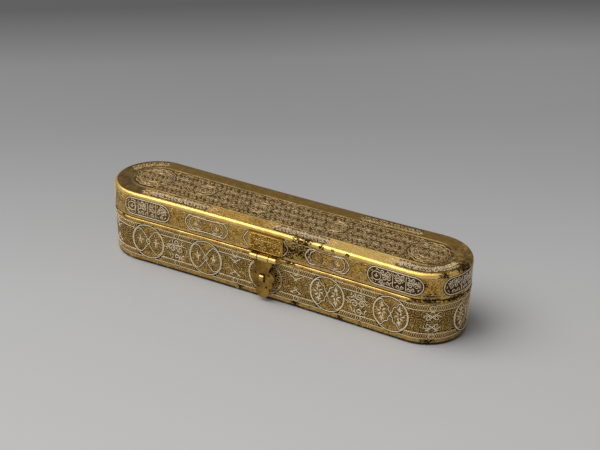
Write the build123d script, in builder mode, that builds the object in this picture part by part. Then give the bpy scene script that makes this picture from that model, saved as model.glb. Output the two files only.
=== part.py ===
"""Long metal pen box with round ends: a case with writing fittings, a hinged lid and a hanging hasp."""

import os
from math import cos, radians, sin, sqrt

from build123d import *

os.makedirs("parts", exist_ok=True)

# Plan of the box
length = 282.0
width = 61.0
side_radius = 4500.0
taper = 1.0

# Case
base_height = 2.4
floor_thickness = 1.4
base_round = 2.0
wall_thickness = 1.3
rim_bottom = 33.5
rim_height = 1.9
bead = 0.45
bead_round = 0.8
flange_thickness = 0.9
flange_depth = 1.5
flange_height = 3.0
flange_clearance = 0.7

# Lid
lid_gap = 0.3
lid_height = 19.6
lid_top_height = 3.0
lid_top_thickness = 1.4
lid_wall_thickness = 1.2
lid_edge_round = 2.3

# Silver lines let flush into the walls
line_width = 0.5
line_depth = 0.25
foot_line_height = 5.2
rim_line_drop = 1.9
lid_low_line_rise = 2.0
lid_high_line_drop = 0.9

# Back hinges
hinge_from_end = 68.0
hinge_width = 18.0
case_leaf_length = 19.0
lid_leaf_length = 12.5
leaf_thickness = 0.9
knuckle_radius = 2.1
knuckle_stand_off = 0.4
case_knuckle_width = 4.6
knuckle_gap = 0.25
rim_cut_clearance = 0.5
hinge_pin_radius = 1.0
pin_overhang = 0.5
pin_chamfer = 0.25
running_clearance = 0.06
fixed_clearance = 0.02

# Rivets
rivet_radius = 0.75
rivet_hole_clearance = 0.05
rivet_head_radius = 1.4
rivet_head_height = 0.7
rivet_head_round = 0.6
rivet_tail_height = 0.5
rivet_seat_gap = 0.02
leaf_rivet_spread = 10.8
leaf_rivet_edge = 3.6
plate_rivet_side = 2.3
plate_rivet_edge = 4.0

# Hasp plate and hasp on the front
plate_x = 0.35
plate_width = 28.0
plate_height = 16.2
plate_thickness = 0.9
plate_corner = 1.0
barrel_radius = 2.15
barrel_stand_off = 3.0
barrel_drop = 1.1
barrel_length = 20.6
barrel_middle = 8.2
barrel_gap = 0.8
web_sink = 0.3
web_low_angle = 25.0
web_high_angle = 70.0
hasp_pin_radius = 0.8
hasp_thickness = 1.2
hasp_length = 31.7
shoulder_width = 15.6
shoulder_gap = 0.4
neck_width = 9.1
slot_width = 4.4
slot_height = 6.8
slot_drop = 15.7
hasp_hole_radius = 0.95

# Hasp outline, in widths and in heights above or below the middle of its slot
neck_rise = 5.4
upper_lobe_width = 18.6
upper_lobe_rise = 1.6
waist_width = 15.2
waist_fall = 2.6
lower_lobe_width = 16.2
lower_lobe_fall = 5.0
notch_width = 9.5
notch_fall = 7.8
upper_hole_spacing = 10.2
upper_hole_rise = 3.0
lower_hole_spacing = 6.4
lower_hole_fall = 7.1

# Staple that the hasp drops over
staple_hole_depth = 5.0
staple_thickness = 1.0
staple_side_clearance = 0.7
staple_end_clearance = 1.0
staple_reach = 2.2
staple_bend = 1.4
staple_inner_bend = 0.4
staple_clinch = 3.0
staple_clearance = 0.08

# Writing fittings at the right-hand end
partition_thickness = 1.2
deck_height = 24.0
deck_thickness = 1.2
cup_clearance = 0.25
inkwell_from_end = 25.0
inkwell_radius = 17.0
inkwell_flange = 2.0
inkwell_depth = 20.0
inkwell_wall = 1.0
inkwell_round = 1.5
mouth_radius = 8.5
collar_height = 1.6
cover_gap = 0.3
cover_overhang = 0.8
cover_thickness = 1.0
cover_edge_round = 0.4
cover_hinge_gap = 0.8
cover_knuckle_radius = 1.3
cover_knuckle_width = 3.9
cover_pin_radius = 0.6
cover_pin_overhang = 0.2
lug_thickness = 1.6
knob_radius = 1.9
knob_neck_radius = 1.0
knob_height = 4.0
pot_radius = 6.3
pot_flange = 1.5
pot_depth = 13.0
pot_wall = 0.8
pot_to_inkwell = 0.64
pot_to_wall = 1.08
pot_to_partition = 1.4

# Levels, and the centres that the plan's arcs are drawn from
rim_top = rim_bottom + rim_height
lid_bottom = rim_top + lid_gap
lid_top_level = lid_bottom + lid_height
lid_seam = lid_top_level - lid_top_height
flange_inset = lid_wall_thickness + flange_clearance
end_x = (length - width) / 2
centre_distance = side_radius + width / 2
side_y = sqrt(centre_distance**2 - end_x**2)
side_middle = side_y - side_radius


def inset_at(z):
    """How far the tapered wall stands inside the plan at a height."""
    return taper * max(0.0, 1 - z / rim_bottom)


def plan(inset):
    """Plan set in on all sides: two round ends joined by two slightly hollow sides."""
    end_radius = width / 2 - inset
    touch_x = end_x * (1 - end_radius / centre_distance)
    touch_y = side_y * end_radius / centre_distance
    tip_x = end_x + end_radius
    middle_y = side_middle - inset
    with BuildSketch() as sketch:
        with BuildLine():
            ThreePointArc((touch_x, -touch_y), (tip_x, 0), (touch_x, touch_y))
            ThreePointArc((touch_x, touch_y), (0, middle_y), (-touch_x, touch_y))
            ThreePointArc((-touch_x, touch_y), (-tip_x, 0), (-touch_x, -touch_y))
            ThreePointArc((-touch_x, -touch_y), (0, -middle_y), (touch_x, -touch_y))
        make_face()
    return sketch.sketch


def block(low, high, outside=0.0):
    """Solid between two heights with its side a distance outside the wall's outer face."""
    with BuildPart() as solid:
        for z in (low, high):
            with BuildSketch(Plane.XY.offset(z)):
                add(plan(inset_at(z) - outside))
        loft(ruled=True)
    return solid.part


def ring(low, high, outside, inside):
    """Ring between two heights, from outside the wall's outer face to inside it."""
    with BuildPart() as solid:
        add(block(low, high, outside))
        add(block(low, high, -inside), mode=Mode.SUBTRACT)
    return solid.part


def line_ring(z):
    """Thin ring at a height, flush with the wall's outer face."""
    return ring(z - line_width / 2, z + line_width / 2, 0, line_depth)


def wall_y(x, z):
    """Distance of a long wall's outer face from the middle plane."""
    return side_y - sqrt((side_radius + inset_at(z)) ** 2 - x**2)


def wall_plane(x, z, outside, side):
    """Plane beside a long wall, side 1 for the back and -1 for the front, looking outwards."""
    lean = taper / rim_bottom if z < rim_bottom else 0.0
    origin = (x, side * (wall_y(x, z) + outside), z)
    return Plane(origin=origin, x_dir=(1, 0, 0), z_dir=(-x / side_radius, side, -lean))


def rivet(plane, grip):
    """Rivet with a round head on the plane and a flat tail on the far side of the grip."""
    with BuildPart() as solid:
        with BuildSketch(plane.offset(rivet_seat_gap)):
            Circle(rivet_head_radius)
        extrude(amount=rivet_head_height)
        outwards = Axis(plane.origin, plane.z_dir)
        fillet(solid.edges().sort_by(outwards)[-1], rivet_head_round)
        with BuildSketch(plane.offset(rivet_seat_gap)):
            Circle(rivet_radius)
        extrude(amount=-grip - 2 * rivet_seat_gap)
        with BuildSketch(plane.offset(-grip - rivet_seat_gap)):
            Circle(rivet_head_radius)
        extrude(amount=-rivet_tail_height)
    return solid.part


def rivet_hole(plane, grip):
    """Hole for a rivet through what it grips."""
    with BuildPart() as solid:
        with BuildSketch(plane.offset(rivet_head_height)):
            Circle(rivet_radius + rivet_hole_clearance)
        extrude(amount=-grip - rivet_head_height - rivet_tail_height)
    return solid.part


# Heights of the silver lines
case_lines = {
    "silver_line_foot": foot_line_height,
    "silver_line_rim": rim_bottom - rim_line_drop,
}
lid_lines = {
    "silver_line_lid_low": lid_bottom + lid_low_line_rise,
    "silver_line_lid_high": lid_seam - lid_high_line_drop,
}

# Places of the back hinges
hinge_x = length / 2 - hinge_from_end
hinge_xs = {"left": -hinge_x, "right": hinge_x}
hinge_z = (rim_top + lid_bottom) / 2
hinge_y = wall_y(hinge_x, hinge_z) + knuckle_stand_off + knuckle_radius
case_leaf_root = rim_bottom - knuckle_gap
lid_leaf_root = hinge_z + knuckle_radius + knuckle_gap
case_grip = leaf_thickness + wall_thickness
lid_grip = leaf_thickness + lid_wall_thickness
lid_knuckle_width = hinge_width - 2 * (case_knuckle_width + knuckle_gap)
case_knuckle_x = (hinge_width - case_knuckle_width) / 2


def leaf_planes(x, root, tip):
    """Planes of a leaf's three rivets: two beside the knuckles and one near the tip."""
    inwards = leaf_rivet_edge if tip > root else -leaf_rivet_edge
    spots = [
        (x - leaf_rivet_spread / 2, root + inwards),
        (x + leaf_rivet_spread / 2, root + inwards),
        (x, tip - inwards),
    ]
    return [wall_plane(along, z, leaf_thickness, 1) for along, z in spots]


case_leaf_tip = case_leaf_root - case_leaf_length
lid_leaf_tip = lid_leaf_root + lid_leaf_length
case_leaf_planes = {k: leaf_planes(x, case_leaf_root, case_leaf_tip) for k, x in hinge_xs.items()}
lid_leaf_planes = {k: leaf_planes(x, lid_leaf_root, lid_leaf_tip) for k, x in hinge_xs.items()}


def hinge_leaf(x, root, tip, knuckles, bore_radius, skin, planes, grip):
    """Leaf that lies on the back wall, with tongues that run on into its knuckles."""
    shoulder = (root + tip) / 2
    with BuildPart() as leaf:
        with BuildSketch(Plane.XZ):
            with Locations((x, (root + shoulder) / 2)):
                Rectangle(hinge_width, abs(root - shoulder))
            with Locations((x, shoulder)):
                Ellipse(hinge_width / 2, abs(tip - shoulder))
            for centre, knuckle in knuckles:
                with Locations((centre, (root + hinge_z) / 2)):
                    Rectangle(knuckle, abs(hinge_z - root))
        extrude(amount=-width)
        add(skin, mode=Mode.INTERSECT)
        for centre, knuckle in knuckles:
            with BuildSketch(Plane.YZ.offset(centre - knuckle / 2)):
                with Locations((hinge_y, hinge_z)):
                    Circle(knuckle_radius)
            extrude(amount=knuckle)
        with BuildSketch(Plane.YZ.offset(x - hinge_width)):
            with Locations((hinge_y, hinge_z)):
                Circle(bore_radius)
        extrude(amount=2 * hinge_width, mode=Mode.SUBTRACT)
        for plane in planes:
            add(rivet_hole(plane, grip), mode=Mode.SUBTRACT)
    return leaf


# Places on the front of the box
plate_bottom = lid_bottom + knuckle_gap
plate_z = plate_bottom + plate_height / 2
plate_grip = plate_thickness + lid_wall_thickness
plate_rivet_x = plate_width / 2 - plate_rivet_side
plate_rivet_z = plate_height / 2 - plate_rivet_edge
plate_planes = [
    wall_plane(plate_x + across * plate_rivet_x, plate_z + up * plate_rivet_z, plate_thickness, -1)
    for across in (-1, 1)
    for up in (-1, 1)
]
barrel_y = -side_middle - barrel_stand_off
barrel_z = lid_bottom - barrel_drop
slot_z = barrel_z - slot_drop
staple_width = slot_width - 2 * staple_side_clearance
staple_low = slot_z - slot_height / 2 + staple_end_clearance
staple_high = slot_z + slot_height / 2 - staple_end_clearance
staple_front = barrel_y - hasp_thickness / 2 - staple_reach
staple_back = wall_thickness + staple_clearance - wall_y(0, staple_low - staple_clinch)

# Places of the writing fittings
deck_top = deck_height + deck_thickness
inkwell_x = length / 2 - inkwell_from_end
pot_reach = pot_radius + pot_flange
pot_y = side_middle - wall_thickness - pot_to_wall - pot_reach
pot_distance = inkwell_radius + inkwell_flange + pot_to_inkwell + pot_reach
pot_x = inkwell_x - sqrt(pot_distance**2 - pot_y**2)
partition_x = pot_x - pot_reach - pot_to_partition
cover_radius = mouth_radius + inkwell_wall + cover_overhang
cover_hinge_x = inkwell_x - cover_radius - cover_hinge_gap - cover_knuckle_radius
cover_bottom = deck_top + inkwell_wall + collar_height + cover_gap
cover_hinge_z = cover_bottom + cover_thickness / 2
cover_arm = inkwell_x - cover_radius - cover_hinge_x + cover_knuckle_radius
lug_y = cover_knuckle_width / 2 + knuckle_gap
cavity = block(floor_thickness, rim_bottom, -wall_thickness)

# Base plate, a shallow tray with a rounded foot
with BuildPart() as base_plate:
    add(block(0, base_height))
    fillet(base_plate.edges().group_by(Axis.Z)[0], base_round)
    add(block(floor_thickness, base_height, -wall_thickness), mode=Mode.SUBTRACT)
base_plate.part.label = "base_plate"
export_step(base_plate.part, "parts/base_plate.step")

# Case wall, tapering a little towards the base
with BuildPart() as case_wall:
    add(ring(base_height, rim_bottom, 0, wall_thickness))
    for z in case_lines.values():
        add(line_ring(z), mode=Mode.SUBTRACT)
    for planes in case_leaf_planes.values():
        for plane in planes:
            add(rivet_hole(plane, case_grip), mode=Mode.SUBTRACT)
    for z in (staple_low + staple_thickness / 2, staple_high - staple_thickness / 2):
        with Locations((0, -wall_y(0, z), z)):
            Box(
                staple_width + 2 * staple_clearance,
                staple_hole_depth,
                staple_thickness + 2 * staple_clearance,
                mode=Mode.SUBTRACT,
            )
case_wall.part.label = "case_wall"
export_step(case_wall.part, "parts/case_wall.step")

# Case rim, a ring with a round bead that is cut away for the back hinges
with BuildPart() as case_rim:
    add(block(rim_bottom, rim_top, bead))
    levels = case_rim.edges().group_by(Axis.Z)
    fillet(levels[0] + levels[-1], bead_round)
    add(block(rim_bottom, rim_top, -flange_inset), mode=Mode.SUBTRACT)
    with BuildSketch(Plane.XY.offset(rim_bottom)):
        for x in hinge_xs.values():
            with Locations((x, width / 2)):
                Rectangle(hinge_width + 2 * rim_cut_clearance, width / 2)
        add(plan(0), mode=Mode.SUBTRACT)
    extrude(amount=rim_height, mode=Mode.SUBTRACT)
case_rim.part.label = "case_rim"
export_step(case_rim.part, "parts/case_rim.step")

# Upright strip inside the rim, which the lid closes over
with BuildPart() as rim_flange:
    add(ring(rim_bottom, rim_top + flange_height, -flange_inset, flange_inset + flange_thickness))
    with BuildSketch(Plane.XY.offset(rim_bottom)):
        add(plan(flange_inset))
        add(plan(flange_inset + flange_thickness), mode=Mode.SUBTRACT)
    extrude(amount=-flange_depth)
rim_flange.part.label = "rim_flange"
export_step(rim_flange.part, "parts/rim_flange.step")

# Lid wall, upright all the way round
with BuildPart() as lid_wall:
    add(ring(lid_bottom, lid_seam, 0, lid_wall_thickness))
    for z in lid_lines.values():
        add(line_ring(z), mode=Mode.SUBTRACT)
    for planes in lid_leaf_planes.values():
        for plane in planes:
            add(rivet_hole(plane, lid_grip), mode=Mode.SUBTRACT)
    for plane in plate_planes:
        add(rivet_hole(plane, plate_grip), mode=Mode.SUBTRACT)
lid_wall.part.label = "lid_wall"
export_step(lid_wall.part, "parts/lid_wall.step")

# Lid top, flat with a rounded edge
with BuildPart() as lid_top:
    add(block(lid_seam, lid_top_level))
    fillet(lid_top.edges().group_by(Axis.Z)[-1], lid_edge_round)
    add(block(lid_seam, lid_top_level - lid_top_thickness, -lid_wall_thickness), mode=Mode.SUBTRACT)
lid_top.part.label = "lid_top"
export_step(lid_top.part, "parts/lid_top.step")

# Silver lines round the case and round the lid
for name, z in (case_lines | lid_lines).items():
    with BuildPart() as silver_line:
        add(line_ring(z))
    silver_line.part.label = name
    export_step(silver_line.part, f"parts/{name}.step")

# Back hinges, each with a leaf on the case, a leaf on the lid and a pin
with BuildPart() as case_skin:
    add(ring(case_leaf_tip, rim_bottom, leaf_thickness, 0))
    add(ring(rim_bottom, hinge_z, leaf_thickness, 0))
with BuildPart() as lid_skin:
    add(ring(hinge_z, lid_leaf_tip, leaf_thickness, 0))
for side, x in hinge_xs.items():
    case_knuckles = [(x - case_knuckle_x, case_knuckle_width), (x + case_knuckle_x, case_knuckle_width)]
    case_leaf = hinge_leaf(
        x,
        case_leaf_root,
        case_leaf_tip,
        case_knuckles,
        hinge_pin_radius + fixed_clearance,
        case_skin.part,
        case_leaf_planes[side],
        case_grip,
    )
    case_leaf.part.label = f"hinge_case_leaf_{side}"
    export_step(case_leaf.part, f"parts/hinge_case_leaf_{side}.step")

    lid_leaf = hinge_leaf(
        x,
        lid_leaf_root,
        lid_leaf_tip,
        [(x, lid_knuckle_width)],
        hinge_pin_radius + running_clearance,
        lid_skin.part,
        lid_leaf_planes[side],
        lid_grip,
    )
    lid_leaf.part.label = f"hinge_lid_leaf_{side}"
    export_step(lid_leaf.part, f"parts/hinge_lid_leaf_{side}.step")

    with BuildPart() as hinge_pin:
        with BuildSketch(Plane.YZ.offset(x - hinge_width / 2 - pin_overhang)):
            with Locations((hinge_y, hinge_z)):
                Circle(hinge_pin_radius)
        extrude(amount=hinge_width + 2 * pin_overhang)
        chamfer(hinge_pin.edges().group_by(Axis.X)[0], pin_chamfer)
        chamfer(hinge_pin.edges().group_by(Axis.X)[-1], pin_chamfer)
    hinge_pin.part.label = f"hinge_pin_{side}"
    export_step(hinge_pin.part, f"parts/hinge_pin_{side}.step")

# Rivets of the hinge leaves and of the hasp plate
rivet_groups = {
    "hinge_case_rivets": (sum(case_leaf_planes.values(), []), case_grip),
    "hinge_lid_rivets": (sum(lid_leaf_planes.values(), []), lid_grip),
    "hasp_plate_rivets": (plate_planes, plate_grip),
}
for name, (planes, grip) in rivet_groups.items():
    with BuildPart() as rivets:
        for plane in planes:
            add(rivet(plane, grip))
    rivets.part.label = name
    export_step(rivets.part, f"parts/{name}.step")

# Hasp plate, with a web that curls forward to the two outer knuckles of the barrel
outer_knuckle = (barrel_length - barrel_middle) / 2 - barrel_gap
outer_knuckle_starts = (plate_x - barrel_length / 2, plate_x + barrel_length / 2 - outer_knuckle)
web_root = -side_middle - web_sink


def on_barrel(angle):
    """Point on the barrel's outline at an angle up from its back."""
    turn = radians(angle)
    return (barrel_y + barrel_radius * cos(turn), barrel_z + barrel_radius * sin(turn))


with BuildPart() as hasp_plate:
    with BuildSketch(Plane.XZ):
        with Locations((plate_x, plate_z)):
            RectangleRounded(plate_width, plate_height, plate_corner)
    extrude(amount=width)
    add(ring(plate_bottom, plate_bottom + plate_height, plate_thickness, 0), mode=Mode.INTERSECT)
    for start in outer_knuckle_starts:
        with BuildSketch(Plane.YZ.offset(start)):
            with BuildLine():
                Polyline(
                    (web_root, plate_bottom),
                    (web_root, plate_bottom + plate_thickness),
                    on_barrel(web_high_angle),
                    on_barrel(web_low_angle),
                    close=True,
                )
            make_face()
            with Locations((barrel_y, barrel_z)):
                Circle(barrel_radius)
        extrude(amount=outer_knuckle)
    with BuildSketch(Plane.YZ.offset(plate_x - barrel_length)):
        with Locations((barrel_y, barrel_z)):
            Circle(hasp_pin_radius + fixed_clearance)
    extrude(amount=2 * barrel_length, mode=Mode.SUBTRACT)
    for plane in plate_planes:
        add(rivet_hole(plane, plate_grip), mode=Mode.SUBTRACT)
hasp_plate.part.label = "hasp_plate"
export_step(hasp_plate.part, "parts/hasp_plate.step")

# Pin of the hasp, through all three knuckles of the barrel
with BuildPart() as hasp_pin:
    with BuildSketch(Plane.YZ.offset(plate_x - barrel_length / 2 - pin_overhang)):
        with Locations((barrel_y, barrel_z)):
            Circle(hasp_pin_radius)
    extrude(amount=barrel_length + 2 * pin_overhang)
    chamfer(hasp_pin.edges().group_by(Axis.X)[0], pin_chamfer)
    chamfer(hasp_pin.edges().group_by(Axis.X)[-1], pin_chamfer)
hasp_pin.part.label = "hasp_pin"
export_step(hasp_pin.part, "parts/hasp_pin.step")

# Hasp, a hanging plate with two lobes on each side, a round tip and a slot for the staple
hasp_top = barrel_z - barrel_radius - shoulder_gap
hasp_tip = barrel_z - hasp_length
shoulder = (shoulder_width / 2, hasp_top)
neck = (neck_width / 2, slot_z + neck_rise)
upper_lobe = (upper_lobe_width / 2, slot_z + upper_lobe_rise)
waist = (waist_width / 2, slot_z - waist_fall)
lower_lobe = (lower_lobe_width / 2, slot_z - lower_lobe_fall)
notch = (notch_width / 2, slot_z - notch_fall)
far_notch = (-notch_width / 2, slot_z - notch_fall)
with BuildPart() as hasp:
    with BuildSketch(Plane.XZ.offset(-barrel_y - hasp_thickness / 2)):
        with BuildLine():
            Polyline((0, hasp_top), shoulder, neck)
            ThreePointArc(neck, upper_lobe, waist)
            ThreePointArc(waist, lower_lobe, notch)
            mirror(about=Plane.YZ)
            ThreePointArc(notch, (0, hasp_tip), far_notch)
        make_face()
        with Locations((plate_x, (barrel_z + hasp_top) / 2)):
            Rectangle(barrel_middle, barrel_z - hasp_top)
        with Locations((0, slot_z)):
            Rectangle(slot_width, slot_height, mode=Mode.SUBTRACT)
        with Locations((0, slot_z + upper_hole_rise)):
            with GridLocations(upper_hole_spacing, 0, 2, 1):
                Circle(hasp_hole_radius, mode=Mode.SUBTRACT)
        with Locations((0, slot_z - lower_hole_fall)):
            with GridLocations(lower_hole_spacing, 0, 2, 1):
                Circle(hasp_hole_radius, mode=Mode.SUBTRACT)
    extrude(amount=hasp_thickness)
    with BuildSketch(Plane.YZ.offset(plate_x - barrel_middle / 2)):
        with Locations((barrel_y, barrel_z)):
            Circle(barrel_radius)
    extrude(amount=barrel_middle)
    with BuildSketch(Plane.YZ.offset(plate_x - barrel_middle)):
        with Locations((barrel_y, barrel_z)):
            Circle(hasp_pin_radius + running_clearance)
    extrude(amount=2 * barrel_middle, mode=Mode.SUBTRACT)
hasp.part.label = "hasp"
export_step(hasp.part, "parts/hasp.step")

# Staple, a strap bent to a loop with its ends turned back inside the wall
with BuildPart() as staple:
    with BuildSketch(Plane.YZ.offset(-staple_width / 2)) as strap:
        with BuildLine():
            Polyline(
                (staple_back, staple_low - staple_clinch),
                (staple_back, staple_low),
                (staple_front, staple_low),
                (staple_front, staple_high),
                (staple_back, staple_high),
                (staple_back, staple_high + staple_clinch),
                (staple_back + staple_thickness, staple_high + staple_clinch),
                (staple_back + staple_thickness, staple_high - staple_thickness),
                (staple_front + staple_thickness, staple_high - staple_thickness),
                (staple_front + staple_thickness, staple_low + staple_thickness),
                (staple_back + staple_thickness, staple_low + staple_thickness),
                (staple_back + staple_thickness, staple_low - staple_clinch),
                close=True,
            )
        make_face()
        fillet(strap.vertices().group_by(Axis.X)[1], staple_inner_bend)
        fillet(strap.vertices().group_by(Axis.X)[0], staple_bend)
    extrude(amount=staple_width)
staple.part.label = "staple"
export_step(staple.part, "parts/staple.step")

# Partition between the pen trough and the writing fittings
with BuildPart() as partition:
    with Locations((partition_x, 0, floor_thickness)):
        Box(
            partition_thickness,
            width,
            deck_height - floor_thickness,
            align=(Align.MIN, Align.CENTER, Align.MIN),
        )
    add(cavity, mode=Mode.INTERSECT)
partition.part.label = "partition"
export_step(partition.part, "parts/partition.step")

# Deck that the inkwell and the two pots hang in
pot_spots = {
    "sand_pot": (pot_x, pot_y, deck_top),
    "paste_pot": (pot_x, -pot_y, deck_top),
}
with BuildPart() as deck:
    with Locations((partition_x, 0, deck_height)):
        Box(length / 2, width, deck_thickness, align=(Align.MIN, Align.CENTER, Align.MIN))
    add(cavity, mode=Mode.INTERSECT)
    with Locations((inkwell_x, 0, deck_top)):
        Hole(inkwell_radius + cup_clearance)
    with Locations(*pot_spots.values()):
        Hole(pot_radius + cup_clearance)
deck.part.label = "deck"
export_step(deck.part, "parts/deck.step")

# Inkwell, a round cup with a flanged shoulder, a collared mouth and two hinge lugs
with BuildPart() as inkwell:
    with Locations((inkwell_x, 0, deck_top)):
        Cylinder(inkwell_radius, inkwell_depth, align=(Align.CENTER, Align.CENTER, Align.MAX))
    fillet(inkwell.edges().group_by(Axis.Z)[0], inkwell_round)
    with Locations((inkwell_x, 0, deck_top)):
        Cylinder(
            inkwell_radius + inkwell_flange,
            inkwell_wall,
            align=(Align.CENTER, Align.CENTER, Align.MIN),
        )
        Cylinder(
            mouth_radius + inkwell_wall,
            inkwell_wall + collar_height,
            align=(Align.CENTER, Align.CENTER, Align.MIN),
        )
        Cylinder(
            inkwell_radius - inkwell_wall,
            inkwell_depth - inkwell_wall,
            align=(Align.CENTER, Align.CENTER, Align.MAX),
            mode=Mode.SUBTRACT,
        )
        Cylinder(
            mouth_radius,
            inkwell_wall + collar_height,
            align=(Align.CENTER, Align.CENTER, Align.MIN),
            mode=Mode.SUBTRACT,
        )
    lug_foot = deck_top + inkwell_wall
    for lug_start in (lug_y, -lug_y - lug_thickness):
        with BuildSketch(Plane.XZ.offset(-lug_start)):
            with Locations((cover_hinge_x, (lug_foot + cover_hinge_z) / 2)):
                Rectangle(2 * cover_knuckle_radius, cover_hinge_z - lug_foot)
            with Locations((cover_hinge_x, cover_hinge_z)):
                Circle(cover_knuckle_radius)
                Circle(cover_pin_radius + fixed_clearance, mode=Mode.SUBTRACT)
        extrude(amount=-lug_thickness)
inkwell.part.label = "inkwell"
export_step(inkwell.part, "parts/inkwell.step")

# Inkwell cover, a round plate with a knob and a knuckle between the lugs
with BuildPart() as inkwell_cover:
    with Locations((inkwell_x, 0, cover_bottom)):
        Cylinder(cover_radius, cover_thickness, align=(Align.CENTER, Align.CENTER, Align.MIN))
    fillet(inkwell_cover.edges().group_by(Axis.Z)[-1], cover_edge_round)
    with Locations((cover_hinge_x, 0, cover_bottom)):
        Box(
            cover_arm,
            cover_knuckle_width,
            cover_thickness,
            align=(Align.MIN, Align.CENTER, Align.MIN),
        )
    with BuildSketch(Plane.XZ.offset(-cover_knuckle_width / 2)):
        with Locations((cover_hinge_x, cover_hinge_z)):
            Circle(cover_knuckle_radius)
    extrude(amount=cover_knuckle_width)
    with BuildSketch(Plane.XZ.offset(-cover_knuckle_width)):
        with Locations((cover_hinge_x, cover_hinge_z)):
            Circle(cover_pin_radius + running_clearance)
    extrude(amount=2 * cover_knuckle_width, mode=Mode.SUBTRACT)
    cover_top = cover_bottom + cover_thickness
    neck_height = knob_height - knob_radius
    with Locations((inkwell_x, 0, cover_top)):
        Cylinder(knob_neck_radius, neck_height, align=(Align.CENTER, Align.CENTER, Align.MIN))
    with Locations((inkwell_x, 0, cover_top + neck_height)):
        Sphere(knob_radius)
inkwell_cover.part.label = "inkwell_cover"
export_step(inkwell_cover.part, "parts/inkwell_cover.step")

# Pin of the inkwell cover, through the lugs and the knuckle
cover_pin_half = lug_y + lug_thickness + cover_pin_overhang
with BuildPart() as inkwell_pin:
    with BuildSketch(Plane.XZ.offset(-cover_pin_half)):
        with Locations((cover_hinge_x, cover_hinge_z)):
            Circle(cover_pin_radius)
    extrude(amount=2 * cover_pin_half)
inkwell_pin.part.label = "inkwell_pin"
export_step(inkwell_pin.part, "parts/inkwell_pin.step")

# Two small open pots beside the inkwell, for sand and for paste
for name, spot in pot_spots.items():
    with BuildPart() as pot:
        with Locations(spot):
            Cylinder(pot_radius, pot_depth, align=(Align.CENTER, Align.CENTER, Align.MAX))
            Cylinder(pot_radius + pot_flange, pot_wall, align=(Align.CENTER, Align.CENTER, Align.MIN))
        with Locations((spot[0], spot[1], deck_top + pot_wall)):
            Cylinder(
                pot_radius - pot_wall,
                pot_depth,
                align=(Align.CENTER, Align.CENTER, Align.MAX),
                mode=Mode.SUBTRACT,
            )
    pot.part.label = name
    export_step(pot.part, f"parts/{name}.step")
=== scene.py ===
import math
import random

import bpy
from mathutils import Matrix, Vector


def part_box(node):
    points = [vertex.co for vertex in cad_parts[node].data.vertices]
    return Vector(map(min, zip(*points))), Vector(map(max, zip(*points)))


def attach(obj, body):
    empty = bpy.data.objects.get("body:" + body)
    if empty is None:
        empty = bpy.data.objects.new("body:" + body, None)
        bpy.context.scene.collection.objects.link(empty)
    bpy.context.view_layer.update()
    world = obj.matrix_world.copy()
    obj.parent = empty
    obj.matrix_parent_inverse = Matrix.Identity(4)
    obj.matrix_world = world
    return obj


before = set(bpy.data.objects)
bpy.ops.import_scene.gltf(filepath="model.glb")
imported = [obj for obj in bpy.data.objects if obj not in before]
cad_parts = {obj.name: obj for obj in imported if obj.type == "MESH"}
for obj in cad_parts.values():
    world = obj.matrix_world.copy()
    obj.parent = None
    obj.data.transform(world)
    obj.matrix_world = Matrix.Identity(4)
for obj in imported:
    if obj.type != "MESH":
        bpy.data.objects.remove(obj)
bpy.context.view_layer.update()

mm = 0.001
chance = random.Random(11)


def low(node, axis="z"):
    """A node's lowest place on an axis, in millimetres."""
    return getattr(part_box(node)[0], axis) / mm


def high(node, axis="z"):
    """A node's highest place on an axis, in millimetres."""
    return getattr(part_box(node)[1], axis) / mm


def middle(node):
    """The height of a node's middle, in millimetres."""
    return (low(node) + high(node)) / 2


# Plan of the box in millimetres: long sides slightly hollow, round ends
length = high("lid_wall", "x") - low("lid_wall", "x")
width = high("lid_wall", "y") - low("lid_wall", "y")
side_radius = 4500.0
foot_inset = 1.0
end_radius = width / 2
end_x = length / 2 - end_radius
centre_distance = side_radius + end_radius
side_y = math.sqrt(centre_distance**2 - end_x**2)
end_turn = math.asin(end_x / centre_distance)
side_arc = side_radius * end_turn
end_arc = end_radius * (math.pi + 2 * end_turn)

# Places along the outline count from the middle of the front to the right. The right-hand end's tip is at
# the apex, and the middle of the back at twice that.
perimeter = 4 * side_arc + 2 * end_arc
apex = perimeter / 4

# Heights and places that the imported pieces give
rim_bottom = low("case_rim")
lid_bottom = low("lid_wall")
lid_height = high("lid_top")
case_middle = rim_bottom / 2
lid_middle = (lid_bottom + lid_height) / 2
foot_line = middle("silver_line_foot")
rim_line = middle("silver_line_rim")
lid_low_line = middle("silver_line_lid_low")
lid_high_line = middle("silver_line_lid_high")
plate_left = low("hasp_plate", "x")
plate_right = high("hasp_plate", "x")
plate_top = high("hasp_plate")

# Sizes of wires, grooves and grounds, and the length over which a wire's ends narrow
line_width = 0.84
line_rise = 0.24
inner_width = 0.72
taper = 1.5
groove_margin = 1.8
groove_rise = 0.08
panel_rise = 0.05
border_rise = 0.04
sunk = 0.1
net_width = 0.56
net_rise = 0.16

# Distances between the points of round and of straight lines
fine_step = 0.6
straight_step = 1.2

# Sizes of the case's ornament
roundel_radius = 13.4
roundel_height = 18.6
lobe_middle = 6.8
inner_low_line = 9.3
inner_high_line = 27.5
ring_radius = 2.0
ring_offset = 2.05
ring_width = 0.6

# Sizes of the ornament on the lid's top and on the hasp plate
field_half = 16.0
field_end = 128.0
band_outer = 2.9
band_inner = 12.0
plate_thickness = 0.9
plate_margin = 1.9
plate_ground_bottom = 38.0


def around(along):
    """A distance along the outline, counted the shorter way round."""
    return (along + perimeter / 2) % perimeter - perimeter / 2


def lap(i, count):
    """The place after i of count equal steps round the outline, from the middle of the back."""
    return perimeter * i / count - perimeter / 2


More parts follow.
